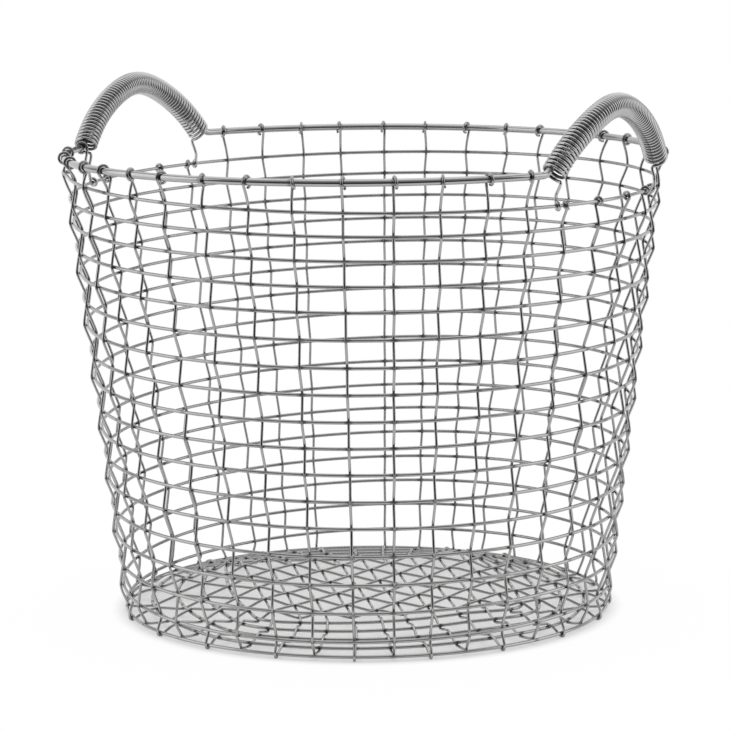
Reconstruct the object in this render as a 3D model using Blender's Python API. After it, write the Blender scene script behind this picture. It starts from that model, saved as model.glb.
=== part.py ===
# A round basket woven from steel wire, with a wire rim that rises into two arched handles.
# A loose spring is threaded on each arch as its grip.
# Metres, +Z up. The basket stands on the plane z = 0, and its handles lie on the X axis.

import math

import bmesh
import bpy
import numpy as np

# Body
RIM_RADIUS = 0.250  # to the middle of the rim wire
BASE_EDGE_RADIUS = 0.2055  # to the middle of the ring round the base
WALL_HEIGHT = 0.3834  # from the base edge ring up to the rim
FIRST_RING_DROP = 0.0234  # from the rim down to the first wall ring
LAST_RING_RISE = 0.0140  # from the base edge ring up to the last wall ring
BASE_RISE = 0.010  # the mesh in the middle of the base lies this much above its edge
WALL_RING_COUNT = 17
BASE_RING_COUNT = 4
SPACING_SHARE = 1.19  # the lowest spacing of the wall rings over the highest

# Wires
RIM_WIRE = 0.006
MESH_WIRE = 0.002
SPRING_WIRE = 0.002
WIRE_GAP = 0.0002  # left between two wires where they cross
HOOK_SLACK = 0.0001  # more room than that inside a bent end
FOOT_SLACK = 0.0003  # more room than that inside a foot

# Weave
WIRES_EACH_WAY = 10  # through wires in each of the two directions of the base mesh
MESH_PITCH = 0.0217
FAN_RUN = 0.005  # a wire keeps its direction this far past the mesh before it fans out

# Handles
SPRING_RISE = 0.049  # from the rim up to the middle of the spring at its highest
SPRING_DIAMETER = 0.018
SPRING_END_RISE = 0.003  # from the rim up to the middle of the spring at its ends
BEND_RADIUS = 0.010  # where the rim turns up into a handle
SPRING_TURNS = 27
SHORT_WIRES = 4  # wires that end below each handle, on the first wall ring
LEG_SHARE = 0.58  # place of a leg between the last short wire and the first full one
TAIL_SHARE = 1 / 3  # place of a spring's tail between the same two

# Sections
MESH_SIDES = 3
RIM_SIDES = 6
SECTION_SHARE = 1.3  # reach of a three-sided section's corner over the round wire's radius
CORNER_SHARE = 0.75  # room that the corner of a crossed wire needs, over that reach
POINTS_A_TURN = 8
HOOK_POINTS = 6
HOOK_TURN = 240  # degrees that an end is bent round its ring
FOOT_STEP = 60
ARCH_STEPS = 12
BEND_STEPS = 2

STEEL_COLOUR = (0.60, 0.60, 0.59, 1.0)
UP = np.array((0.0, 0.0, 1.0))

# Worked out from the sizes above
uprights = 4 * WIRES_EACH_WAY
upright_step = 2 * math.pi / uprights
section_reach = SECTION_SHARE * MESH_WIRE / 2
section_flat = section_reach * math.cos(math.pi / MESH_SIDES)
crossing = (1 + CORNER_SHARE) * section_reach + WIRE_GAP
half_hook_step = math.radians(HOOK_TURN) / (HOOK_POINTS - 1) / 2
half_foot_step = math.radians(FOOT_STEP) / 2
foot_reach = (2 * section_reach + WIRE_GAP + FOOT_SLACK) / math.cos(half_foot_step)
base_edge_height = foot_reach * math.cos(half_foot_step) + section_flat
rim_height = base_edge_height + WALL_HEIGHT
mesh_height = base_edge_height + BASE_RISE
wall_lean = math.atan2(RIM_RADIUS - BASE_EDGE_RADIUS, WALL_HEIGHT)
base_edge = WALL_RING_COUNT + 1
first_mesh_crossing = base_edge + BASE_RING_COUNT + 1


def unit(vector):
    return vector / np.linalg.norm(vector)


def outward(angle):
    return np.array((math.cos(angle), math.sin(angle), 0.0))


def turned(angle, degrees):
    """Direction in the upright plane at this angle: 0 degrees is outward and 90 is up."""
    turn = math.radians(degrees)
    return math.cos(turn) * outward(angle) + math.sin(turn) * UP


def wall_normal(angle):
    return turned(angle, -math.degrees(wall_lean))


def upright_angle(upright):
    return (upright + 0.5) * upright_step


def side_of(upright, ring):
    """1 where the upright passes outside or below the ring, and -1 where it passes inside or above."""
    return 1 if (upright + ring) % 2 else -1


def is_short(upright):
    """True for the uprights under a handle. A handle sits above upright 0 and half a turn on."""
    from_handle = (upright + SHORT_WIRES // 2) % (uprights // 2)
    return from_handle < SHORT_WIRES


def ring_drops():
    """How far below the rim each ring lies: the rim itself, the wall rings and the base edge."""
    steps = np.linspace(1.0, SPACING_SHARE, WALL_RING_COUNT - 1)
    shares = np.concatenate(([0.0], np.cumsum(steps) / steps.sum()))
    run = WALL_HEIGHT - FIRST_RING_DROP - LAST_RING_RISE
    return np.concatenate(([0.0], FIRST_RING_DROP + run * shares, [WALL_HEIGHT]))


drops = ring_drops()


def wall_point(ring, angle):
    """Middle of the ring's wire: ring 0 is the rim, and the last is the base edge."""
    radius = RIM_RADIUS - (RIM_RADIUS - BASE_EDGE_RADIUS) * drops[ring] / WALL_HEIGHT
    return radius * outward(angle) + (rim_height - drops[ring]) * UP


def fan_direction(upright):
    """The way out of the base mesh, before the wire fans out to its upright."""
    quarter = upright // WIRES_EACH_WAY
    return outward(math.radians(45 + 90 * quarter))


def mesh_edge_point(upright):
    """Where the upright's wire leaves the square mesh in the middle of the base."""
    half = (WIRES_EACH_WAY - 1) / 2
    away = fan_direction(upright)
    across = (upright % WIRES_EACH_WAY - half) * MESH_PITCH * np.cross(UP, away)
    return half * MESH_PITCH * away + across + mesh_height * UP


def base_point(ring, upright):
    """Middle of a base ring's wire at this upright, on the way in from the edge to the mesh."""
    share = (ring - base_edge) / (BASE_RING_COUNT + 1)
    edge = wall_point(base_edge, upright_angle(upright))
    return edge + share * (mesh_edge_point(upright) - edge)


def far_end(upright):
    """The upright at the other end of the same through wire."""
    quarter, place = divmod(upright, WIRES_EACH_WAY)
    return (quarter + 2) * WIRES_EACH_WAY + WIRES_EACH_WAY - 1 - place


def hook(centre, angle, side, reach):
    """The end of a wire bent over a ring from its outer side, or from its inner side at -1."""
    stations = []
    for turn in np.linspace(0.0, HOOK_TURN, HOOK_POINTS):
        away = turned(angle, turn if side > 0 else 180 - turn)
        stations.append((centre + reach * away, side * away))
    return stations


def bottom_corner(upright):
    """Round the base edge ring: outside it as a foot, or inside it. From the base to the wall."""
    angle = upright_angle(upright)
    centre = wall_point(base_edge, angle)
    if side_of(upright, base_edge) > 0:
        turns = (-2 * FOOT_STEP, -FOOT_STEP, 0)
        return [(centre + foot_reach * turned(angle, t), turned(angle, t)) for t in turns]
    reach = crossing / math.cos(half_foot_step)
    turns = (135 + FOOT_STEP / 2, 135 - FOOT_STEP / 2)
    return [(centre + reach * turned(angle, t), -turned(angle, t)) for t in turns]


def climb(upright):
    """Stations of a through wire from the base mesh out over the base and up the wall to its hook."""
    angle = upright_angle(upright)
    stations = [(mesh_edge_point(upright) + FAN_RUN * fan_direction(upright), -UP)]
    for ring in range(first_mesh_crossing - 1, base_edge, -1):
        lift = -side_of(upright, ring) * crossing * UP
        stations.append((base_point(ring, upright) + lift, -UP))
    stations += bottom_corner(upright)
    last = 1 if is_short(upright) else 0
    for ring in range(WALL_RING_COUNT, last, -1):
        shift = side_of(upright, ring) * crossing * wall_normal(angle)
        stations.append((wall_point(ring, angle) + shift, wall_normal(angle)))
    held = section_reach if is_short(upright) else RIM_WIRE / 2
    reach = (held + section_reach + WIRE_GAP + HOOK_SLACK) / math.cos(half_hook_step)
    return stations + hook(wall_point(last, angle), angle, side_of(upright, last), reach)


def through_wire(upright):
    """Stations of a whole wire: down one wall, across the base and up the wall opposite."""
    start, finish = mesh_edge_point(upright), mesh_edge_point(far_end(upright))
    across = []
    for step in range(WIRES_EACH_WAY):
        place = start + (finish - start) * step / (WIRES_EACH_WAY - 1)
        lift = -side_of(upright, first_mesh_crossing + step) * crossing / 2 * UP
        across.append((place + lift, -UP))
    return climb(upright)[::-1] + across + climb(far_end(upright))


def sections_along(stations, reach, sides, closed):
    """Corner points of the section at each station, mitred so that the wire keeps its width."""
    points = np.array([point for point, facing in stations])
    legs = np.diff(np.vstack((points, points[:1])), axis=0)
    legs /= np.linalg.norm(legs, axis=1)[:, None]
    rows = []
    for place, (point, facing) in enumerate(stations):
        before, after = legs[place - 1], legs[place]
        if not closed and place == 0:
            before = after
        if not closed and place == len(stations) - 1:
            after = before
        along = unit(before + after)
        front = unit(facing - np.dot(facing, along) * along)
        beside = np.cross(along, front)
        bend = after - before
        stretch = 1 / np.dot(along, after) - 1
        turn = unit(bend) if np.linalg.norm(bend) > stretch > 0 else np.zeros(3)
        row = []
        for corner in range(sides):
            turned_by = (2 * corner + 1) * math.pi / sides
            arm = reach * (math.cos(turned_by) * front + math.sin(turned_by) * beside)
            row.append(point + arm + stretch * np.dot(arm, turn) * turn)
        rows.append(row)
    return rows


def wire_object(name, stations, reach, sides, closed, material):
    """A wire swept along its stations. One flat side of its section faces as each station says."""
    mesh = bmesh.new()
    rows = []
    for row in sections_along(stations, reach, sides, closed):
        rows.append([mesh.verts.new(corner) for corner in row])
    pairs = list(zip(rows, rows[1:]))
    if closed:
        pairs.append((rows[-1], rows[0]))
    else:
        mesh.faces.new(rows[0])
        mesh.faces.new(rows[-1])
    for first, second in pairs:
        for corner in range(sides):
            following = (corner + 1) % sides
            mesh.faces.new((first[corner], first[following], second[following], second[corner]))
    bmesh.ops.recalc_face_normals(mesh, faces=mesh.faces)
    data = bpy.data.meshes.new(name)
    mesh.to_mesh(data)
    mesh.free()
    data.materials.append(material)
    made = bpy.data.objects.new(name, data)
    bpy.context.scene.collection.objects.link(made)
    return made


# Handles: a place on an arch is given by its run round the rim from the handle's middle and its
# rise above the rim, so that the arch follows the rim's circle.
last_short = (SHORT_WIRES - 1) / 2 * upright_step
leg_angle = last_short + LEG_SHARE * upright_step
tail_angle = last_short + TAIL_SHARE * upright_step
half_span = RIM_RADIUS * leg_angle
spring_arch_radius = (half_span**2 + SPRING_RISE**2) / (2 * SPRING_RISE)
arch_centre_rise = SPRING_RISE - spring_arch_radius
spring_path_radius = (SPRING_DIAMETER - SPRING_WIRE) / 2
inner_room = spring_path_radius * math.cos(math.pi / POINTS_A_TURN) - SPRING_WIRE / 2
spring_hang = inner_room - RIM_WIRE / 2 - WIRE_GAP
core_arch_radius = spring_arch_radius + spring_hang


def arch_place(middle, run, rise):
    return RIM_RADIUS * outward(middle + run / RIM_RADIUS) + (rim_height + rise) * UP


def arch_direction(middle, run, along_run, along_rise):
    """The direction there of a step round the rim and a step up."""
    return along_run * outward(middle + run / RIM_RADIUS + math.pi / 2) + along_rise * UP


def handle_outline():
    """Runs and rises of the rim wire over a handle: a bend up, the arch and a bend down."""
    bend_rise = BEND_RADIUS - arch_centre_rise
    bend_run = math.sqrt((core_arch_radius + BEND_RADIUS) ** 2 - bend_rise**2)
    lean = math.atan2(bend_run, bend_rise)
    arch = []
    for turn in np.linspace(-lean, lean, ARCH_STEPS + 1):
        rise = arch_centre_rise + core_arch_radius * math.cos(turn)
        arch.append((core_arch_radius * math.sin(turn), rise))
    bend = []
    for turn in np.linspace(lean, 0.0, BEND_STEPS + 1)[1:]:
        run = bend_run - BEND_RADIUS * math.sin(turn)
        bend.append((run, BEND_RADIUS * (1 - math.cos(turn))))
    return [(-run, rise) for run, rise in reversed(bend)] + arch + bend


def rim_stations():
    stations = []
    for side in range(2):
        middle = side * math.pi
        for run, rise in handle_outline():
            point = arch_place(middle, run, rise)
            stations.append((point, outward(middle + run / RIM_RADIUS)))
        first = SHORT_WIRES // 2 + side * uprights // 2
        for upright in range(first, first + uprights // 2 - SHORT_WIRES):
            angle = upright_angle(upright)
            stations.append((wall_point(0, angle), outward(angle)))
    return stations


def tail(middle, side):
    """The end of a spring: bent round the first wall ring, from its tip to its outer side."""
    before = wall_point(1, middle + side * last_short)
    after = wall_point(1, middle + side * (last_short + upright_step))
    centre = before + TAIL_SHARE * (after - before)
    angle = middle + side * tail_angle
    reach = (section_reach + SPRING_WIRE / 2 + WIRE_GAP + HOOK_SLACK) / math.cos(half_hook_step)
    turns = np.linspace(-HOOK_TURN, 0.0, HOOK_POINTS)
    return [centre + reach * turned(angle, turn) for turn in turns]


def spring_points(middle):
    """A spring from tail to tail, with its turns round the arch."""
    lean = math.acos((SPRING_END_RISE - arch_centre_rise) / spring_arch_radius)
    steps = SPRING_TURNS * POINTS_A_TURN
    points = tail(middle, -1)
    for step in range(steps + 1):
        turn = lean * (2 * step / steps - 1)
        run = spring_arch_radius * math.sin(turn)
        rise = arch_centre_rise + spring_arch_radius * math.cos(turn)
        away = arch_direction(middle, run, math.sin(turn), math.cos(turn))
        wind = math.pi + 2 * math.pi * step / POINTS_A_TURN
        arm = math.cos(wind) * away + math.sin(wind) * outward(middle + run / RIM_RADIUS)
        points.append(arch_place(middle, run, rise) + spring_path_radius * arm)
    return points + tail(middle, 1)[::-1]


def spring_object(name, points, material):
    curve = bpy.data.curves.new(name, "CURVE")
    curve.dimensions = "3D"
    curve.bevel_depth = SPRING_WIRE / 2
    curve.bevel_resolution = 1
    curve.use_fill_caps = True
    spline = curve.splines.new("POLY")
    spline.points.add(len(points) - 1)
    for place, point in zip(spline.points, points):
        place.co = (*point, 1.0)
    curve.materials.append(material)
    made = bpy.data.objects.new(name, curve)
    bpy.context.scene.collection.objects.link(made)
    return made


def least_gap(points):
    """The least gap between a spring's turns, in mm: from point to point, less the wire."""
    places = np.array(points)
    apart = np.linalg.norm(places[:, None] - places[None], axis=2)
    rows = np.arange(len(places))
    near = np.abs(rows[:, None] - rows[None]) < POINTS_A_TURN / 2
    return 1000 * (apart[~near].min() - SPRING_WIRE)


def steel(name, roughness):
    material = bpy.data.materials.new(name)
    material.use_nodes = True
    shader = material.node_tree.nodes["Principled BSDF"]
    shader.inputs["Base Color"].default_value = STEEL_COLOUR
    shader.inputs["Metallic"].default_value = 1.0
    shader.inputs["Roughness"].default_value = roughness
    material.diffuse_color = STEEL_COLOUR
    return material


def ring_object(name, points, facings, material):
    return wire_object(name, list(zip(points, facings)), section_reach, MESH_SIDES, True, material)


def build_rings(material):
    """Wall rings from the top down, the ring round the base and the rings in the base."""
    angles = [upright_angle(upright) for upright in range(uprights)]
    for ring in range(1, base_edge):
        points = [wall_point(ring, angle) for angle in angles]
        ring_object(f"wall_ring_{ring:02d}", points, [wall_normal(a) for a in angles], material)
    points = [wall_point(base_edge, angle) for angle in angles]
    ring_object("base_edge_ring", points, [turned(a, -45) for a in angles], material)
    for ring in range(1, BASE_RING_COUNT + 1):
        points = [base_point(base_edge + ring, upright) for upright in range(uprights)]
        ring_object(f"base_ring_{ring}", points, [-UP] * uprights, material)


def build_through_wires(material):
    for direction, letter in enumerate("ab"):
        for place in range(WIRES_EACH_WAY):
            stations = through_wire(direction * WIRES_EACH_WAY + place)
            name = f"mesh_wire_{letter}{place + 1:02d}"
            wire_object(name, stations, section_reach, MESH_SIDES, False, material)


def build_handles(rim_steel, spring_steel):
    wire_object("rim_wire", rim_stations(), RIM_WIRE / 2, RIM_SIDES, True, rim_steel)
    for side, name in enumerate(("handle_spring_right", "handle_spring_left")):
        points = spring_points(side * math.pi)
        spring_object(name, points, spring_steel)
        print(f"{name}: {len(points)} points, least gap {least_gap(points):.2f} mm")


def main():
    for old in list(bpy.data.objects):
        bpy.data.objects.remove(old)
    mesh_steel = steel("mesh_steel", 0.35)
    build_rings(mesh_steel)
    build_through_wires(mesh_steel)
    build_handles(steel("rim_steel", 0.30), steel("spring_steel", 0.28))


main()
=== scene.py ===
# A round basket woven from steel wire, with a spring grip on each of its two handles.
# The CAD wires are three-sided with straight runs, and its rings lie level. Here every wire is
# round, crimped and hooked, and the wall rings are one spiral, as they are on the real basket.
import math

import bpy
import numpy as np
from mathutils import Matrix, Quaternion, Vector


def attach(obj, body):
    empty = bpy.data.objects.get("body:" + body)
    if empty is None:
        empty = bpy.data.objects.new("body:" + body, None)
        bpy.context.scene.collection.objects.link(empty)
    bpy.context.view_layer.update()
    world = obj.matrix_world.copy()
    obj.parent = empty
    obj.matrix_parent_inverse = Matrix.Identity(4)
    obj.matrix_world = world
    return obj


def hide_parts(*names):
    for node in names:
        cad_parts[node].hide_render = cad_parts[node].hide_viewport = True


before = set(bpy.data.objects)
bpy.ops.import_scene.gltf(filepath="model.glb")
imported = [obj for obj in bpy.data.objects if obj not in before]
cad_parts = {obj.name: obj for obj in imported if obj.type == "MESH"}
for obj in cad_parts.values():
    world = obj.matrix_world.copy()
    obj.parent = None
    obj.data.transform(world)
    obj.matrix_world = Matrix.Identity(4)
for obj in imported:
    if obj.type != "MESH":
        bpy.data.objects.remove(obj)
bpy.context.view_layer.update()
print("frame loaded:", len(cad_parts), "wires")

# Sizes in metres, the same as in the part's source
basket = {
    "rimRadius": 0.250,
    "baseEdgeRadius": 0.2055,
    "wallHeight": 0.3834,
    "firstRingDrop": 0.0234,
    "lastRingRise": 0.0140,
    "edgeHeight": 0.00375,  # middle of the ring round the base above the floor
    "baseRise": 0.010,
    "wallRings": 17,
    "baseRings": 4,
    "spacingShare": 1.19,  # the gap between the lowest two wall rings over the highest two's
    "wiresEachWay": 10,
    "meshPitch": 0.0217,
    "shortWires": 4,
}
up = np.array((0.0, 0.0, 1.0))
uprights = 4 * basket["wiresEachWay"]
uprightStep = 2 * math.pi / uprights
rimHeight = basket["edgeHeight"] + basket["wallHeight"]
wallLean = math.atan2(basket["rimRadius"] - basket["baseEdgeRadius"], basket["wallHeight"])
edgeRing = basket["wallRings"] + 1
firstMesh = edgeRing + basket["baseRings"] + 1
lastMesh = firstMesh + basket["wiresEachWay"] - 1


def ringDrops():
    steps = np.linspace(1.0, basket["spacingShare"], basket["wallRings"] - 1)
    shares = np.concatenate(([0.0], np.cumsum(steps) / steps.sum()))
    run = basket["wallHeight"] - basket["firstRingDrop"] - basket["lastRingRise"]
    return np.concatenate(([0.0], basket["firstRingDrop"] + run * shares, [basket["wallHeight"]]))


drops = ringDrops()


# Unit vectors: level and outward at an angle, round the basket there, and in the upright plane
def outward(angle):
    angle = np.asarray(angle, float)
    return np.stack((np.cos(angle), np.sin(angle), np.zeros_like(angle)), -1)


def roundward(angle):
    return outward(np.asarray(angle, float) + math.pi / 2)


def tilted(angle, rise):
    rise = np.asarray(rise, float)[..., None]
    return np.cos(rise) * outward(angle) + np.sin(rise) * up


def uprightAngle(upright):
    return (upright + 0.5) * uprightStep


# A place on the cone of the wall: radius falls with the drop below the rim
def wallPlace(drop, angle):
    drop = np.asarray(drop, float)[..., None]
    taper = (basket["rimRadius"] - basket["baseEdgeRadius"]) / basket["wallHeight"]
    return (basket["rimRadius"] - taper * drop) * outward(angle) + (rimHeight - drop) * up


# Set by hand, the wires aren't even. The rings' wire winds down as one spiral, nearly level but
# for its step to the next ring at the seam, and its turns stand some millimetres off their even
# places. Angles are in degrees round the basket.
handSet = {
    "seam": 215.4,
    "step": 0.5,  # how far a turn is off the level at the seam, in spacings
    "lastStep": 0.8,  # the same where the last turn runs out
    "high": 35.4,  # the side towards which the turns mostly rise
    # how far the turns stand above their even places, in millimetres from the rim to the base:
    # all round, then what goes with the cosine and the sine of the angle from the high side, and
    # with the sine of twice that angle
    "rises": (
        (0.0, -0.3, 0.8, 1.0, 0.9, 0.7, -0.2, -1.1, -1.7, -2.5,
         -2.5, -2.0, -1.5, -0.8, -0.9, -0.6, 0.1, 0.6, 0.0),
        (0.0, 0.5, 0.9, 1.5, 2.1, 2.6, 3.0, 3.6, 4.3, 4.5,
         4.3, 4.1, 3.8, 3.7, 3.8, 4.1, 4.7, 4.7, 0.0),
        (0.0, 1.7, 1.2, 0.8, 0.6, 0.4, 0.7, 1.0, 0.9, 0.4,
         0.1, 0.2, 0.6, 0.7, 1.1, 1.9, 2.9, 3.6, 0.0),
        (0.0, 0.7, 1.1, 1.1, 1.0, 0.8, 0.6, 0.7, 0.8, 0.7,
         0.9, 1.2, 1.3, 1.2, 0.9, 0.5, 0.1, -0.2, 0.0),
    ),
    # each upright's turn round the basket in degrees, at the rim and at the base
    "atRim": (
        -0.8, -0.6, -0.6, -0.3, 0.0, -0.4, 0.0, -0.2, 0.9, 0.2,
        -0.5, -0.5, -0.4, -0.6, -0.3, -1.3, -1.5, -2.0, -1.6, -2.8,
        -3.3, -3.4, -2.2, -0.6, 1.0, 2.0, 2.4, 1.7, 1.5, 0.6,
        0.8, 0.6, 0.1, 0.1, 0.2, -0.2, -0.5, -1.0, -1.6, -1.6,
    ),
    "atBase": (
        1.1, 1.6, 1.4, 0.2, 0.5, 1.2, 0.9, -1.4, -0.1, -0.2,
        0.0, -0.6, -0.8, -0.8, -1.3, -1.3, -2.2, -2.3, -2.3, -3.1,
        -2.7, -2.2, -2.6, -1.4, 1.6, 2.6, 2.5, 2.0, 0.9, 1.0,
        1.0, 1.1, 0.9, 1.0, 0.8, 0.1, -0.2, -0.1, 0.3, 0.6,
    ),
}
atRim, atBase = np.radians(handSet["atRim"]), np.radians(handSet["atBase"])


# An upright's angle where it has come down by this much
def leaning(upright, drop):
    share = np.asarray(drop, float) / basket["wallHeight"]
    return uprightAngle(upright) + (1 - share) * atRim[upright] + share * atBase[upright]


# How far below the rim a wall wire lies: its place is counted in rings, moved on by a share of
# the cube of the way round from the seam, -1 to 1, and raised by its millimetres. The rim and the
# base are level.
def spiralDrop(place, angle):
    place, angle = np.asarray(place, float), np.asarray(angle, float)
    way = (angle - math.radians(handSet["seam"])) % (2 * math.pi) / math.pi - 1
    free = np.clip(np.minimum(place, edgeRing - place), 0, 1)
    onLast = np.clip(place - basket["wallRings"] + 1, 0, 1)
    runOut = handSet["step"] + (handSet["lastStep"] - handSet["step"]) * onLast
    place = place + free * np.where(way > 0, runOut, handSet["step"]) * way**3
    turned = angle - math.radians(handSet["high"])
    waves = (1.0, np.cos(turned), np.sin(turned), np.sin(2 * turned))
    rings = np.arange(len(drops))
    pairs = zip(waves, handSet["rises"])
    raised = sum(wave * np.interp(place, rings, rise) for wave, rise in pairs)
    return np.interp(place, rings, drops) - raised / 1000


# Smooth 0 to 1
def ease(share):
    share = np.clip(share, 0, 1)
    return share * share * (3 - 2 * share)


# Cubic from start to end that leaves and arrives at the given speeds, at the shares t of its way
def cubic(t, start, leaving, end, arriving):
    return (
        (2 * t**3 - 3 * t**2 + 1) * start
        + (t**3 - 2 * t**2 + t) * leaving
        + (3 * t**2 - 2 * t**3) * end
        + (t**3 - t**2) * arriving
    )


# The same between two places with directions, without the two ends
def bridge(start, leaving, end, arriving, steps, pull=1.0):
    t = np.linspace(0, 1, steps + 1)[1:-1, None]
    reach = pull * np.linalg.norm(end - start)
    return cubic(t, start, reach * leaving, end, reach * arriving)


chamfer = {"length": 0.25, "width": 0.72}  # of a wire's cut end, in radii


# Tube: a circle carried along a path. Each section stands across the path, turned by a guide
# vector that never lies along it. The ends close on a small chamfer and a middle point. The mark of
# painted shade is given for each section, or for each point round it, and goes to the material.
def tube(name, path, guide, radius, sides, closed, paintedShade):
    count = len(path)
    if closed:
        ahead = np.roll(path, -1, 0) - np.roll(path, 1, 0)
        gaps = np.linalg.norm(np.roll(path, -1, 0) - path, axis=1)
    else:
        ahead = np.gradient(path, axis=0)
        gaps = np.linalg.norm(np.diff(path, axis=0), axis=1)
    ahead /= np.linalg.norm(ahead, axis=1)[:, None]
    guide = np.broadcast_to(guide, path.shape)
    first = guide - (guide * ahead).sum(1)[:, None] * ahead
    first /= np.linalg.norm(first, axis=1)[:, None]
    second = np.cross(ahead, first)
    along = np.concatenate(([0.0], np.cumsum(gaps)))
    thick = np.full(count, radius)
    if not closed:
        out = chamfer["length"] * thick
        ends = path[:1] - out[0] * ahead[:1], path[-1:] + out[-1] * ahead[-1:]
        path = np.concatenate((ends[0], path, ends[1]))
        perSection = first, second, along, paintedShade, thick
        first, second, along, paintedShade, thick = (
            np.concatenate((rows[:1], rows, rows[-1:])) for rows in perSection
        )
        thick[[0, -1]] *= chamfer["width"]
        count += 2
    turn = 2 * math.pi * np.arange(sides) / sides
    cosine, sine = np.cos(turn)[:, None], np.sin(turn)[:, None]
    arms = cosine * first[:, None] + sine * second[:, None]
    points = (path[:, None] + thick[:, None, None] * arms).reshape(-1, 3)
    rows = np.arange(count if closed else count - 1)
    i, j = (a.ravel() for a in np.meshgrid(rows, np.arange(sides), indexing="ij"))
    here, there, nextSide = i * sides, (i + 1) % count * sides, (j + 1) % sides
    quads = np.stack((here + j, here + nextSide, there + nextSide, there + j), 1)
    low, high = j / sides, (j + 1) / sides
    uv = np.stack((along[i], low, along[i], high, along[i + 1], high, along[i + 1], low), 1)
    uv = uv.reshape(-1, 2)
    corners = quads.ravel()
    starts = np.arange(len(quads)) * 4
    shade = np.broadcast_to(paintedShade.reshape(count, -1), (count, sides)).ravel()
    if not closed:
        side = np.arange(sides)
        tip, tail = len(points), len(points) + 1
        points = np.concatenate((points, path[:1], path[-1:]))
        shade = np.concatenate((shade, [0.0, 0.0]))
        front = np.stack((np.full(sides, tip), (side + 1) % sides, side), 1)
        base = (count - 1) * sides
        back = np.stack((np.full(sides, tail), base + side, base + (side + 1) % sides), 1)
        starts = np.concatenate((starts, len(corners) + np.arange(2 * sides) * 3))
        corners = np.concatenate((corners, front.ravel(), back.ravel()))
        uv = np.concatenate((uv, np.zeros((6 * sides, 2))))
    mesh = bpy.data.meshes.new(name)
    mesh.vertices.add(len(points))
    mesh.vertices.foreach_set("co", points.ravel())
    mesh.loops.add(len(corners))
    mesh.loops.foreach_set("vertex_index", corners.astype(np.int32))
    mesh.polygons.add(len(starts))
    mesh.polygons.foreach_set("loop_start", starts.astype(np.int32))
    mesh.polygons.foreach_set("use_smooth", np.ones(len(starts), bool))
    mesh.update(calc_edges=True)
    mesh.uv_layers.new(name="UVMap").data.foreach_set("uv", uv.ravel())
    mesh.attributes.new("crossing", "FLOAT", "POINT").data.foreach_set("value", shade)
    mesh.validate()
    piece = bpy.data.objects.new(name, mesh)
    bpy.context.scene.collection.objects.link(piece)
    return piece


# Puts a finished piece in the place of its CAD node
def dress(piece, node, material):
    piece.data.materials.append(material)
    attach(piece, "root")
    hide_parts(node)


# Shader maths: a wrapped socket takes part in plain sums, and each sum adds its Math node
class Signal:
    def __init__(self, graph, socket):
        self.graph = graph
        self.socket = socket

    def math(self, operation, first, second):
        return self.graph.node("ShaderNodeMath", {"operation": operation}, {0: first, 1: second})

    def __add__(self, other):
        return self.math("ADD", self, other)

    def __radd__(self, other):
        return self.math("ADD", other, self)

    def __sub__(self, other):
        return self.math("SUBTRACT", self, other)

    def __rsub__(self, other):
        return self.math("SUBTRACT", other, self)

    def __mul__(self, other):
        return self.math("MULTIPLY", self, other)

    def __rmul__(self, other):
        return self.math("MULTIPLY", other, self)


# The nodes of a new material, or of the world
class Graph:
    def __init__(self, owner):
        self.owner = owner
        owner.use_nodes = True
        self.tree = owner.node_tree
        self.shader = self.tree.nodes.get("Principled BSDF")

    # One node: its type, the settings that are made first, its sockets' values or links
    def node(self, kind, settings=None, sockets=None, output=0):
        made = self.tree.nodes.new(kind)
        for key, value in (settings or {}).items():
            if key == "stops":
                self.ramp(made.color_ramp, value)
            else:
                setattr(made, key, value)
        for key, value in (sockets or {}).items():
            self.feed(made.inputs[key], value)
        return Signal(self, made.outputs[output])

    # A number from one vector or two
    def vectorMath(self, operation, *vectors):
        sockets = dict(enumerate(vectors))
        return self.node("ShaderNodeVectorMath", {"operation": operation}, sockets, 1)

    # A grey for each value, between the given stops
    def greys(self, value, stops):
        stops = [(place, (level,) * 3) for place, level in stops]
        return self.node("ShaderNodeValToRGB", {"stops": stops}, {0: value})

    # The first colour at 0, the second at 1
    def mix(self, share, first, second):
        return self.node("ShaderNodeMix", {"data_type": "RGBA"}, {0: share, 6: first, 7: second}, 2)

    def ramp(self, ramp, stops):
        while len(ramp.elements) < len(stops):
            ramp.elements.new(1.0)
        for element, (place, colour) in zip(ramp.elements, stops):
            element.position = place
            element.color = (*colour, 1.0)

    def feed(self, socket, value):
        if isinstance(value, Signal):
            self.tree.links.new(value.socket, socket)
        else:
            socket.default_value = value

    def set(self, **values):
        for key, value in values.items():
            self.feed(self.shader.inputs[key.replace("_", " ")], value)


# Drawn steel wire: die lines along it, a faint cloudiness, and painted shade, darker and rougher,
# where wires touch and inside the coils
steelLooks = {
    # the last colour of each is the painted shade put where wires touch and inside the coils
    "mesh_wire": {"colour": 0.45, "dark": 0.32, "paintedShade": 0.03, "rough": 0.13, "bump": 0.08},
    "rim_wire": {"colour": 0.47, "dark": 0.38, "paintedShade": 0.08, "rough": 0.13, "bump": 0.06},
    "spring_wire": {"colour": 0.54, "dark": 0.40, "paintedShade": 0.04, "rough": 0.12, "bump": 0.06},
}
# What the three have in common
steelGrain = {
    "tint": (1.0, 0.999, 0.995),
    "cloud": {"Scale": 55.0, "Detail": 3.0},
    "fleck": {"Scale": 900.0, "Detail": 2.0},
    "dieLines": {"Scale": 3.0, "Detail": 4.0},
    "dieStretch": (12.0, 14.0, 1.0),
    # how much the cloudiness and the die lines brighten the metal, less a little
    "cloudShare": 0.6,
    "lineShare": 0.5,
    "brightFrom": 0.05,
    # how strong the painted shade of a touch mark is, and how much of that goes with the flecks
    "touchShare": 0.6,
    "touchFleck": 0.6,
    "roughSwing": 0.06,
    "touchRough": 0.25,
    "lineHeight": 0.8,
    "fleckHeight": 0.4,
    "bumpDepth": 0.0002,
}


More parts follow.
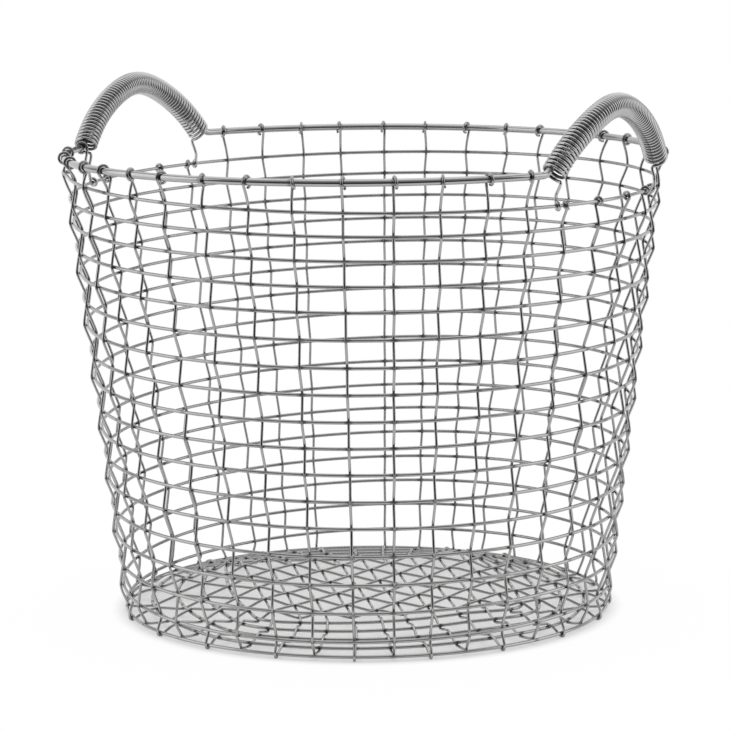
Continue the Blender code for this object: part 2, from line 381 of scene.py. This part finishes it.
def steelSkin(slot):
    look, grain = steelLooks[slot], steelGrain
    graph = Graph(bpy.data.materials.new("steel_" + slot))
    place = graph.node("ShaderNodeTexCoord", output="Object")
    cloud = graph.node("ShaderNodeTexNoise", None, {"Vector": place, **grain["cloud"]})
    fleck = graph.node("ShaderNodeTexNoise", None, {"Vector": place, **grain["fleck"]})
    strip = graph.node("ShaderNodeTexCoord", output="UV")
    run = graph.node("ShaderNodeMapping", None, {"Vector": strip, "Scale": grain["dieStretch"]})
    dieLines = graph.node("ShaderNodeTexNoise", None, {"Vector": run, **grain["dieLines"]})
    # painted shade: the mark on the mesh darkens the metal towards its last colour, and roughens it
    paintedShade = graph.node("ShaderNodeAttribute", {"attribute_name": "crossing"}, output="Fac")
    bright, darker, shadeColour = (
        (*(look[key] * np.array(grain["tint"])), 1.0) for key in ("colour", "dark", "paintedShade")
    )
    clear = cloud * grain["cloudShare"] + dieLines * grain["lineShare"] - grain["brightFrom"]
    body = graph.mix(clear, darker, bright)
    skin = graph.mix(paintedShade * (grain["touchShare"] + grain["touchFleck"] * fleck), body, shadeColour)
    height = dieLines * grain["lineHeight"] + fleck * grain["fleckHeight"]
    sockets = {"Height": height, "Strength": look["bump"], "Distance": grain["bumpDepth"]}
    rough = look["rough"] + grain["roughSwing"] * (cloud - 0.5) + grain["touchRough"] * paintedShade
    bump = graph.node("ShaderNodeBump", None, sockets)
    graph.set(Base_Color=skin, Metallic=1.0, Roughness=rough, Normal=bump)
    return graph.owner


steel = {slot: steelSkin(slot) for slot in steelLooks}
print("materials made:", len(steel))

# The weave. A wire's place along its climb is counted in rings: 0 at the rim, 1 to 17 on the
# wall, 18 at the base edge, 19 to 22 at the base rings and 23 to 32 across the square mesh.
weave = {
    "wire": 0.0023,
    "ringWire": 0.0029,
    "touchGap": 0.00005,
    "meshSwing": 0.0027,  # crimp of the wires that lie across the camera's view in the square mesh
    "meshShift": 0.0027,  # the mesh lies this far to the high side of the basket
    "meshSag": 0.004,  # rise of the mesh from its middle to its two sides
    "meshReach": 0.08,
    "sharpness": 0.955,  # 0 gives a plain sine crimp, and near 1 a zigzag
    "meshSharpness": 0.90,
    "rimHookReach": 0.0045,
    "rimHookTurn": 285,
    "eyeReach": 0.0031,
    "eyeTurn": 318,
    "hookDrift": 0.0023,  # a bent end moves aside by this, so that it lies beside its own wire
    "hookDriftBy": 1.2,  # the drift is done before the bend ends
    "cornerBend": 0.0045,
    "cornerAim": 135,
    "cornerTurn": (-86, -22),
    "footTurn": 122,
    # the first turn of the rings' wire starts with a hook, and runs on from this share of the way
    # to the next upright
    "startTurn": 225,
    "startClear": 0.4,
    "startSteps": 6,
    "turnEnd": 0.97,  # a turn is this much of its thickness at its two ends
    "seamGap": 1e-6,  # radians
    # painted contact shade where wires touch: how strong it is on a climb, then more exactly at its
    # corner and its hook, and how wide it is in spacings of the wires
    "climbTouch": 0.7,
    "cornerTouch": 0.7,
    "hookTouch": 0.3,
    "hookTouchTurn": 160.0,
    "touchSpread": 0.045,
    "meshTouchSpread": 0.06,
    "baseTouchSpread": 0.05,
    "ringTouchSpread": 0.035,
    "stepsPerRing": 14,
    "stepsPerHook": 26,
    "sides": 10,
}
crossOffset = (weave["wire"] + weave["ringWire"]) / 2 + weave["touchGap"]
highSide = outward(math.radians(handSet["high"]))


# Crimp of an upright's wire in the square mesh: where one direction is on top it takes the other,
# which is nearly straight, up with it, so that the two crimps together are a wire's thickness
def meshOffset(upright):
    along = upright // basket["wiresEachWay"] % 2
    rest = weave["wire"] + weave["touchGap"] - weave["meshSwing"]
    return rest if along else weave["meshSwing"]


# Height of the base: it falls from the mesh to its edge, and the mesh sags along its middle
def baseHeight(plan, share):
    aside = np.clip(plan @ highSide / weave["meshReach"], -1, 1)
    return basket["edgeHeight"] + (basket["baseRise"] + weave["meshSag"] * aside**2) * (1 - share)


# Crimp: the arc sine of a scaled cosine, 1 and -1 in turn at each ring
def crimp(place):
    inMesh = np.clip(place - firstMesh + 1, 0, 1)
    sharp = weave["sharpness"] + (weave["meshSharpness"] - weave["sharpness"]) * inMesh
    return np.arcsin(sharp * np.cos(math.pi * place)) / np.arcsin(sharp)


# 1 at a crossing, falling to 0 within about a wire's width: where the painted contact shade goes
def nearCrossing(place, spread):
    away = (place - np.round(place)) / spread
    return np.exp(-away * away)


def isShort(upright):
    fromHandle = (upright + basket["shortWires"] // 2) % (uprights // 2)
    return fromHandle < basket["shortWires"]


def fanDirection(upright):
    quarter = upright // basket["wiresEachWay"]
    return outward(math.radians(45 + 90 * quarter))


def meshEdge(upright):
    half = (basket["wiresEachWay"] - 1) / 2
    away = fanDirection(upright)
    across = (upright % basket["wiresEachWay"] - half) * basket["meshPitch"] * np.cross(up, away)
    return half * basket["meshPitch"] * away + across + weave["meshShift"] * highSide


# The fan in plan: a cubic from the mesh edge, straight on at first, to the base edge, radial
# there. Gives the place and the direction at each share of the way out.
def fanPlan(upright, share):
    start, leaving = meshEdge(upright), fanDirection(upright)
    angle = leaning(upright, basket["wallHeight"])
    end, arriving = basket["baseEdgeRadius"] * outward(angle), outward(angle)
    t = np.asarray(share, float)[..., None]
    reach = np.linalg.norm(end - start)
    place = cubic(t, start, reach * leaving, end, reach * arriving)
    heading = (
        (6 * t**2 - 6 * t) * start
        + (3 * t**2 - 4 * t + 1) * reach * leaving
        + (6 * t - 6 * t**2) * end
        + (3 * t**2 - 2 * t) * reach * arriving
    )
    return place, heading / np.linalg.norm(heading, axis=-1, keepdims=True)


# Part of a ring's circle in the upright plane, from one angle to another in degrees
def arc(centre, angle, reach, start, finish, steps):
    turn = np.radians(np.linspace(start, finish, steps))
    return centre + reach * tilted(angle, turn)


# One climb, from the edge of the mesh out over the base, round the base edge, up the wall and
# round its ring. Gives the path, the guide across it and the mark of painted contact shade.
def climb(upright):
    angle = leaning(upright, basket["wallHeight"])
    hand = -1 if upright % 2 else 1

    # over the base rings
    place = np.linspace(firstMesh, edgeRing + 1, basket["baseRings"] * weave["stepsPerRing"] + 1)
    share = (firstMesh - place) / (firstMesh - edgeRing)
    plan, heading = fanPlan(upright, share)
    size = meshOffset(upright) + (crossOffset - meshOffset(upright)) * ease(firstMesh - place)
    height = baseHeight(plan, share) + hand * size * crimp(place)
    base = plan + height[:, None] * up
    baseGuide = np.cross(up, heading)
    baseTouch = nearCrossing(place, weave["touchSpread"])

    # round the base edge, as a foot or inside it
    centre = wallPlace(basket["wallHeight"], angle)
    lean = math.degrees(wallLean)
    if upright % 2:
        # the foot stands on the floor
        reach = basket["edgeHeight"] - weave["wire"] / 2
        turns, steps = (-weave["footTurn"], -lean), weave["stepsPerHook"]
    else:
        reach = weave["cornerBend"]
        centre = centre + (crossOffset + reach) * tilted(angle, math.radians(weave["cornerAim"]))
        turns, steps = weave["cornerTurn"], weave["stepsPerHook"] // 2
    corner = arc(centre, angle, reach, *turns, steps)
    leaving, arriving = (tilted(angle, math.radians(90 + turn)) for turn in turns)
    sections = len(corner) + 2 * (weave["stepsPerRing"] - 1)
    cornerGuide = np.broadcast_to(roundward(angle), (sections, 3))

    # up the wall
    last = 1 if isShort(upright) else 0
    rings = basket["wallRings"] - last
    place = np.linspace(basket["wallRings"], last, rings * weave["stepsPerRing"] + 1)
    angle = leaning(upright, np.interp(place, np.arange(len(drops)), drops))
    hookReach = weave["eyeReach"] if last else weave["rimHookReach"]
    size = crossOffset + (hookReach - crossOffset) * ease(last + 1 - place)
    normal = tilted(angle, -wallLean)
    swing = hand * (size * crimp(place))[:, None]
    wall = wallPlace(spiralDrop(place, angle), angle) - swing * normal
    wallTouch = nearCrossing(place, weave["touchSpread"])
    climbing = wall[1] - wall[0]
    climbing /= np.linalg.norm(climbing)

    # over the rim, or round the first ring as an eye
    side = -hand if last == 0 else hand
    top = angle[-1]
    centre = wallPlace(spiralDrop(last, top), top)
    total = weave["eyeTurn"] if last else weave["rimHookTurn"]
    turn = np.linspace(0, total, weave["stepsPerHook"])[1:]
    begin = -lean if side > 0 else 180 - lean
    hook = arc(centre, top, hookReach, begin, begin + side * total, weave["stepsPerHook"])[1:]
    drift = weave["hookDrift"] * ease(turn / total * weave["hookDriftBy"])
    hook = hook + drift[:, None] * roundward(top)
    hookTouch = weave["hookTouch"] * np.exp(-((turn / weave["hookTouchTurn"]) ** 2))

    inner = bridge(base[-1], heading[-1], corner[0], leaving, weave["stepsPerRing"])
    outer = bridge(corner[-1], arriving, wall[0], climbing, weave["stepsPerRing"])
    path = np.concatenate((base, inner, corner, outer, wall, hook))
    hookGuide = np.broadcast_to(roundward(top), hook.shape)
    guides = np.concatenate((baseGuide, cornerGuide, roundward(angle), hookGuide))
    cornerTouch = weave["cornerTouch"] * np.sin(np.linspace(0, math.pi, len(corner)))
    gap = np.zeros(len(inner))
    paintedShade = np.concatenate((baseTouch, gap, cornerTouch, gap, wallTouch, hookTouch))
    return path, guides, weave["climbTouch"] * paintedShade


def farEnd(upright):
    quarter, place = divmod(upright, basket["wiresEachWay"])
    return (quarter + 2) * basket["wiresEachWay"] + basket["wiresEachWay"] - 1 - place


# A whole wire: down one wall, across the base with its crimps, and up the wall opposite
def throughWire(name, upright):
    near, nearGuide, nearTouch = climb(upright)
    far, farGuide, farTouch = climb(farEnd(upright))
    hand = -1 if upright % 2 else 1
    spaces = lastMesh - firstMesh
    place = np.linspace(firstMesh, lastMesh, spaces * weave["stepsPerRing"] + 1)[1:-1]
    share = ((place - firstMesh) / spaces)[:, None]
    start, finish = meshEdge(upright), meshEdge(farEnd(upright))
    across = start + (finish - start) * share
    height = baseHeight(across, 0.0) + hand * meshOffset(upright) * crimp(place)
    across = across + height[:, None] * up
    acrossGuide = np.broadcast_to(np.cross(up, fanDirection(upright)), across.shape)
    path = np.concatenate((near[::-1], across, far))
    guide = np.concatenate((nearGuide[::-1], acrossGuide, -farGuide))
    acrossTouch = nearCrossing(place, weave["meshTouchSpread"])
    paintedShade = np.concatenate((nearTouch[::-1], acrossTouch, farTouch))
    return tube(name, path, guide, weave["wire"] / 2, weave["sides"], False, paintedShade)


for direction, letter in enumerate("ab"):
    for number in range(basket["wiresEachWay"]):
        node = f"mesh_wire_{letter}{number + 1:02d}"
        wire = throughWire(node + "_round", direction * basket["wiresEachWay"] + number)
        dress(wire, node, steel["mesh_wire"])
print("through wires woven:", 2 * basket["wiresEachWay"])

# Rings: turns of one spiral on the wall, each from seam to seam, a closed circle round the base
# edge, and closed smooth curves through the base wires' crossings
ringSteps = 8  # from one upright to the next


# 1 where the ring meets an upright, for the painted contact shade there
def ringTouch(angle, drop):
    drop = np.broadcast_to(drop, angle.shape)
    meets = np.array([leaning(upright, drop) for upright in range(uprights)])
    apart = (angle - meets + math.pi) % (2 * math.pi) - math.pi
    return np.exp(-((np.abs(apart).min(0) / (weave["ringTouchSpread"] * uprightStep)) ** 2))


def wallRing(name, ring):
    closed = ring == edgeRing
    above, below = 1 < ring < edgeRing, ring < basket["wallRings"]
    seam = math.radians(handSet["seam"])
    steps = uprights * ringSteps
    # a turn laps one step into the turns above and below it, and is a little thinner at its ends
    step = np.arange(-1 if above else 0, steps + (0 if closed else 2 if below else 1))
    angle = seam + 2 * math.pi * step / steps
    # the last turn stops just short of the seam, where the way round starts again
    angle[-1] -= weave["seamGap"]
    drop = spiralDrop(ring + (step >= steps) * below - (step < 0), angle)
    paintedShade = ringTouch(angle, drop)
    path = wallPlace(drop, angle)
    wire = weave["ringWire"] / 2
    radius = np.full(len(path), wire)
    if not closed:
        radius[[0, -1]] *= weave["turnEnd"]
    if ring == 1:
        # the spiral starts with a hook round the first upright after the seam
        meets = leaning(int(math.degrees(seam) // math.degrees(uprightStep)) + 1, drop[0])
        turn = np.radians(np.linspace(-weave["startTurn"], 0, weave["stepsPerHook"]))[:, None]
        hook = crossOffset * (np.cos(turn) * outward(meets) + np.sin(turn) * roundward(meets))
        hook = wallPlace(drop[0], meets) + hook
        going = angle > meets + weave["startClear"] * uprightStep
        onward = roundward(angle[going][0])
        joined = bridge(hook[-1], roundward(meets), path[going][0], onward, weave["startSteps"])
        started = len(hook) + len(joined)
        path = np.concatenate((hook, joined, path[going]))
        paintedShade = np.concatenate((np.zeros(started), paintedShade[going]))
        radius = np.concatenate((np.full(started, wire), radius[going]))
    return tube(name, path, up, radius, weave["sides"], closed, paintedShade)


def baseRing(name, ring):
    share = 1 - ring / (basket["baseRings"] + 1)
    corners = np.array([fanPlan(upright, share)[0] for upright in range(uprights)])
    heading = (np.roll(corners, -1, 0) - np.roll(corners, 1, 0)) / 2
    t = (np.arange(ringSteps) / ringSteps)[None, :, None]
    here, there = corners[:, None], np.roll(corners, -1, 0)[:, None]
    leaving, arriving = heading[:, None], np.roll(heading, -1, 0)[:, None]
    path = cubic(t, here, leaving, there, arriving).reshape(-1, 3)
    path = path + baseHeight(path, share)[:, None] * up
    place = np.arange(uprights * ringSteps) / ringSteps
    paintedShade = nearCrossing(place, weave["baseTouchSpread"])
    return tube(name, path, up, weave["ringWire"] / 2, weave["sides"], True, paintedShade)


for ring in range(1, edgeRing):
    node = f"wall_ring_{ring:02d}"
    dress(wallRing(node + "_round", ring), node, steel["mesh_wire"])
edgeCircle = wallRing("base_edge_ring_round", edgeRing)
dress(edgeCircle, "base_edge_ring", steel["mesh_wire"])
for ring in range(1, basket["baseRings"] + 1):
    node = f"base_ring_{ring}"
    dress(baseRing(node + "_round", ring), node, steel["mesh_wire"])
print("rings made:", edgeRing + basket["baseRings"])

# Handles: on the rim's cylinder a place is its run round the rim from the handle's middle and its
# rise
handle = {
    "rimWire": 0.006,
    "restOn": 0.018,  # the arch of the rim wire carries a spring of this diameter
    "cornerBend": 0.010,
    "springWire": 0.0026,
    "springDiameter": 0.0202,
    "springRise": 0.049,
    "springEndRise": 0.003,
    "turns": 63,
    "legShare": 0.58,
    "tailShare": 1 / 3,
    "restGap": 0.0001,
    "endFan": 0.0045,  # towards the ends the turns lean, with their inner sides spread this far
    "fanPower": 5,
    "insideFrom": 0.35,  # how far round a turn's side the painted shade inside the coil reaches
    "tailReach": 0.0031,
    "tailTurn": 275,
    "tailSteps": 24,
    # halfway up, a tail has a knee that stands aside and leans back
    "kneeAside": 0.0012,
    "kneeLean": 0.006,
    "kneeSteps": (10, 14),
    "kneePull": 1.1,
    # bent by hand, each arch leaves the rim's cylinder: outward at its middle and at its two
    # sides, along the rim at its middle, how far its sides are pinched, and how much higher it is
    "bend": {
        0.0: (-0.0034, -0.0018, 0.0, 0.0035, 0.0012),
        math.pi: (-0.0040, -0.0042, -0.0010, 0.0010, 0.0014),
    },
    "bendFrom": 0.012,  # the bend has its full measure from this rise on
    "archSteps": 120,
    "cornerSteps": 14,
    "levelSteps": 320,
    "stepsPerTurn": 24,
    "rimSides": 20,
    "springSides": 10,
}
lastShort = (basket["shortWires"] - 1) / 2 * uprightStep
halfSpan = basket["rimRadius"] * (lastShort + handle["legShare"] * uprightStep)
archRadius = (halfSpan**2 + handle["springRise"] ** 2) / (2 * handle["springRise"])
archCentre = handle["springRise"] - archRadius
coilRadius = (handle["springDiameter"] - handle["springWire"]) / 2
coreRadius = archRadius + (
    handle["restOn"] / 2 - handle["springWire"] - handle["rimWire"] / 2 - handle["restGap"]
)
sag = (handle["springDiameter"] - handle["restOn"]) / 2


def archPlace(middle, run, rise):
    outMiddle, outSides, runMiddle, pinch, higher = handle["bend"][middle]
    rise = np.asarray(rise, float)
    share = np.clip(run / halfSpan, -1, 1)
    whole, sides = np.cos(math.pi * share / 2) ** 2, np.sin(math.pi * share)
    lifted = ease(rise / handle["bendFrom"])
    radius = basket["rimRadius"] + lifted * (outMiddle * whole + outSides * sides)
    run = run + lifted * (runMiddle * whole - pinch * sides)
    rise = rise + lifted * higher * whole
    out = outward(middle + run / basket["rimRadius"])
    return radius[..., None] * out + (rimHeight + rise)[..., None] * up


def archWay(middle, run, alongRun, alongRise):
    onward = roundward(middle + run / basket["rimRadius"])
    return alongRun[..., None] * onward + alongRise[..., None] * up


# The rim: half circles between the handles, and over each handle a bend, the arch and a bend
def rimWire(name):
    bend = handle["cornerBend"]
    bendRise = bend - archCentre
    bendRun = math.sqrt((coreRadius + bend) ** 2 - bendRise**2)
    lean = math.atan2(bendRun, bendRise)
    turn = np.linspace(-lean, lean, handle["archSteps"])
    archRun, archRise = coreRadius * np.sin(turn), archCentre + coreRadius * np.cos(turn)
    turn = np.linspace(lean, 0, handle["cornerSteps"])[1:]
    bendRuns, bendRises = bendRun - bend * np.sin(turn), bend * (1 - np.cos(turn))
    run = np.concatenate((-bendRuns[::-1], archRun, bendRuns))
    rise = np.concatenate((bendRises[::-1], archRise, bendRises))
    clear = bendRun / basket["rimRadius"]
    paths, angles, touches = [], [], []
    for middle in (0.0, math.pi):
        level = np.linspace(middle + clear, middle + math.pi - clear, handle["levelSteps"])[1:-1]
        levelRun = basket["rimRadius"] * (level - middle)
        paths += [archPlace(middle, run, rise), archPlace(middle, levelRun, 0 * level)]
        angles += [middle + run / basket["rimRadius"], level]
        # painted contact shade where the uprights hook over the rim
        touches += [0 * run, ringTouch(level, 0.0)]
    path, angle, paintedShade = (np.concatenate(parts) for parts in (paths, angles, touches))
    return tube(name, path, outward(angle), handle["rimWire"] / 2, handle["rimSides"], True, paintedShade)


# A spring: a helix round the arch, and at each end a tail down to its hook on the first ring
def springTail(middle, side, coilEnd, coilWay):
    angle = middle + side * (lastShort + handle["tailShare"] * uprightStep)
    centre = wallPlace(spiralDrop(1, angle), angle)
    finish = (0 if side > 0 else 180) - math.degrees(wallLean)
    begin, steps = finish - side * handle["tailTurn"], handle["tailSteps"]
    hook = arc(centre, angle, handle["tailReach"], begin, finish, steps)
    drift = side * weave["hookDrift"] * np.linspace(1, 0, steps)
    hook = hook + drift[:, None] * roundward(angle)
    rising = tilted(angle, math.pi / 2 - wallLean)
    aside = side * roundward(angle)
    knee = (hook[-1] + coilEnd) / 2 + handle["kneeAside"] * aside
    kneeWay = coilEnd - hook[-1] - handle["kneeLean"] * aside
    kneeWay /= np.linalg.norm(kneeWay)
    lowerSteps, upperSteps = handle["kneeSteps"]
    lower = bridge(hook[-1], rising, knee, kneeWay, lowerSteps)
    upper = bridge(knee, kneeWay, coilEnd, coilWay, upperSteps, handle["kneePull"])
    path = np.concatenate((hook, lower, knee[None], upper))
    return path, np.broadcast_to(roundward(angle), path.shape)


def gripSpring(name, middle):
    lean = math.acos((handle["springEndRise"] - archCentre) / archRadius)
    turns, sides = handle["turns"], handle["springSides"]
    share = np.linspace(0, 1, turns * handle["stepsPerTurn"] + 1)
    fromTop = 2 * share - 1
    turn = lean * fromTop
    run, rise = archRadius * np.sin(turn), archCentre + archRadius * np.cos(turn)
    away = archWay(middle, run, np.sin(turn), np.cos(turn))
    forward = archWay(middle, run, np.cos(turn), -np.sin(turn))
    rimAngle = middle + run / basket["rimRadius"]
    wind = math.pi + 2 * math.pi * turns * share
    fan = handle["endFan"] * (1 - np.cos(wind)) / 2 * fromTop ** handle["fanPower"]
    coil = archPlace(middle, run, rise) + (coilRadius * np.cos(wind) - sag)[:, None] * away
    coil += (coilRadius * np.sin(wind))[:, None] * outward(rimAngle) + fan[:, None] * forward
    first, firstGuide = springTail(middle, -1, coil[0], -outward(rimAngle[0]))
    last, lastGuide = springTail(middle, 1, coil[-1], outward(rimAngle[-1]))
    # over half a turn at each end the guide passes from the tail's to the coil's
    inCoil = (ease(2 * turns * share) * ease(2 * turns * (1 - share)))[:, None]
    guide = forward * inCoil + (1 - inCoil) * roundward(rimAngle)
    path = np.concatenate((first, coil, last[::-1]))
    guide = np.concatenate((firstGuide, guide, lastGuide))
    # painted shade: the wire is darker and rougher on its side that faces into the coil
    facing = 2 * math.pi * np.arange(sides) / sides
    inside = np.zeros((len(path), sides))
    darker = np.clip(handle["insideFrom"] - np.sin(facing), 0, 1)
    inside[len(first) : len(first) + len(coil)] = darker
    return tube(name, path, guide, handle["springWire"] / 2, sides, False, inside)


dress(rimWire("rim_wire_round"), "rim_wire", steel["rim_wire"])
for node, middle in (("handle_spring_right", 0.0), ("handle_spring_left", math.pi)):
    dress(gripSpring(node + "_coil", middle), node, steel["spring_wire"])
print("rim and springs made")

# White paper sweep: a level floor that curves up behind the basket
studio = {
    "azimuth": -54.6,  # the camera's side of the basket, in degrees
    "distance": 2.724,
    "aboveRim": 0.255,
    "pitch": 9.112,
    "roll": 0.5,
    "lens": 160.4,
    "shiftUp": 0.00177,
    "sweepBack": 2.2,
    "sweepRadius": 1.0,
    "sweepWidth": 8.0,
    "sweepFront": 3.5,
    "sweepWall": 3.0,
    "sweepSteps": 24,
    "paper": 0.92,
    "paperRough": 0.9,
    # share of plain white in what a lens or a wire sees of the paper: under the basket, and
    # beside it, at these distances from the middle
    "underfoot": 0.36,
    "beside": 0.97,
    "basketEdge": (0.204, 0.218),
    "whiteBy": 0.4,
    # in front of the basket the paper gives way to the grey floor of the room
    "paperEnds": (0.6, 1.1),
    "room": 0.08,
    # brightness of the air by how far a direction lies towards the lit side: -1 to 1
    "airStops": ((0.0, 0.03), (0.36, 0.04), (0.50, 0.28), (0.64, 0.42), (0.86, 0.54), (1.0, 1.05)),
    "litSide": 65,  # degrees up from the level, on the side away from the camera
    "lampsAim": 0.2,  # height of the place on the basket's axis that the lamps face
}
azimuth = math.radians(studio["azimuth"])


def paperSweep():
    turn = np.linspace(0, math.pi / 2, studio["sweepSteps"])
    back = studio["sweepBack"] + studio["sweepRadius"] * np.sin(turn)
    rise = studio["sweepRadius"] * (1 - np.cos(turn))
    back = np.concatenate(([-studio["sweepFront"]], back, [back[-1]]))
    rise = np.concatenate(([0.0], rise, [rise[-1] + studio["sweepWall"]]))
    across = np.array((-0.5, 0.5)) * studio["sweepWidth"]
    points = (
        back[:, None, None] * -outward(azimuth)
        + across[None, :, None] * roundward(azimuth)
        + rise[:, None, None] * up
    ).reshape(-1, 3)
    row = np.arange(len(back) - 1)[:, None] * 2
    faces = (row + np.array([[0, 1, 3, 2]])).tolist()
    mesh = bpy.data.meshes.new("paper_sweep")
    mesh.from_pydata(points.tolist(), [], faces)
    mesh.polygons.foreach_set("use_smooth", np.ones(len(faces), bool))
    sweep = bpy.data.objects.new("paper_sweep", mesh)
    bpy.context.scene.collection.objects.link(sweep)
    graph = Graph(bpy.data.materials.new("white_paper"))
    place = graph.node("ShaderNodeTexCoord", output="Object")
    front = graph.vectorMath("DOT_PRODUCT", place, outward(azimuth))
    away = graph.vectorMath("LENGTH", place)
    near, far = studio["paperEnds"]
    smooth = {"interpolation_type": "SMOOTHSTEP"}
    here = 1 - graph.node("ShaderNodeMapRange", smooth, {0: front, 1: near, 2: far})
    inner, outer = studio["basketEdge"]
    whites = (inner, studio["underfoot"]), (outer, studio["beside"]), (studio["whiteBy"], 1.0)
    white = graph.greys(away, whites)
    grey, pale = ((studio[key],) * 3 + (1.0,) for key in ("room", "paper"))
    paper = graph.mix(here, grey, pale)
    graph.set(Base_Color=paper, Roughness=studio["paperRough"], Specular_IOR_Level=0.0)
    rays = graph.tree.nodes.new("ShaderNodeLightPath")
    kinds = ("Is Camera Ray", "Is Glossy Ray", "Is Transmission Ray")
    camera, glossy, through = (Signal(graph, rays.outputs[kind]) for kind in kinds)
    glow = graph.node("ShaderNodeEmission", None, {"Color": (1.0, 1.0, 1.0, 1.0), "Strength": 1.0})
    lit = Signal(graph, graph.shader.outputs[0])
    share = white * here * (camera + glossy + through)
    mixed = graph.node("ShaderNodeMixShader", None, {0: share, 1: lit, 2: glow})
    graph.feed(graph.tree.nodes["Material Output"].inputs["Surface"], mixed)
    mesh.materials.append(graph.owner)


paperSweep()

# Soft boxes: place in degrees round from the camera, distance, height, size and power
lamps = {
    "overhead": {"round": 180, "distance": 0.3, "height": 2.6, "size": (3.0, 3.0), "power": 12},
    "left": {"round": -85, "distance": 2.6, "height": 1.0, "size": (2.4, 2.4), "power": 20},
    "right": {"round": 85, "distance": 2.6, "height": 1.0, "size": (2.4, 2.4), "power": 20},
}


def softBox(name, lamp):
    light = bpy.data.lights.new(name, "AREA")
    light.shape = "RECTANGLE"
    light.size, light.size_y = lamp["size"]
    light.energy = lamp["power"]
    box = bpy.data.objects.new(name, light)
    bpy.context.scene.collection.objects.link(box)
    spot = lamp["distance"] * outward(azimuth + math.radians(lamp["round"])) + lamp["height"] * up
    box.location = spot
    aim = Vector((0.0, 0.0, studio["lampsAim"])) - Vector(spot)
    box.rotation_euler = aim.to_track_quat("-Z", "Y").to_euler()


for name, lamp in lamps.items():
    softBox(name, lamp)


# The air of the studio: pale overhead and behind the basket, and dim behind the camera
def studioAir():
    world = bpy.data.worlds.new("studio_air")
    air = Graph(world)
    lit = tilted(azimuth + math.pi, math.radians(studio["litSide"]))
    way = air.node("ShaderNodeTexCoord", output="Generated")
    towards = air.vectorMath("DOT_PRODUCT", way, lit)
    background = air.tree.nodes["Background"]
    air.feed(background.inputs["Color"], (1.0, 1.0, 1.0, 1.0))
    air.feed(background.inputs["Strength"], air.greys(0.5 * towards + 0.5, studio["airStops"]))
    bpy.context.scene.world = world


studioAir()
bpy.context.scene.view_settings.view_transform = "Standard"

# Camera: it stands a little above the rim and looks down at the basket's axis, slightly rolled
camera = bpy.data.cameras.new("camera")
camera.lens = studio["lens"]
camera.shift_y = studio["shiftUp"]
eye = bpy.data.objects.new("camera", camera)
bpy.context.scene.collection.objects.link(eye)
eye.location = studio["distance"] * outward(azimuth) + (rimHeight + studio["aboveRim"]) * up
looking = tilted(azimuth + math.pi, -math.radians(studio["pitch"]))
roll = Quaternion((0.0, 0.0, 1.0), -math.radians(studio["roll"]))
eye.rotation_euler = (Vector(looking).to_track_quat("-Z", "Y") @ roll).to_euler()
bpy.context.scene.camera = eye
print("studio ready")
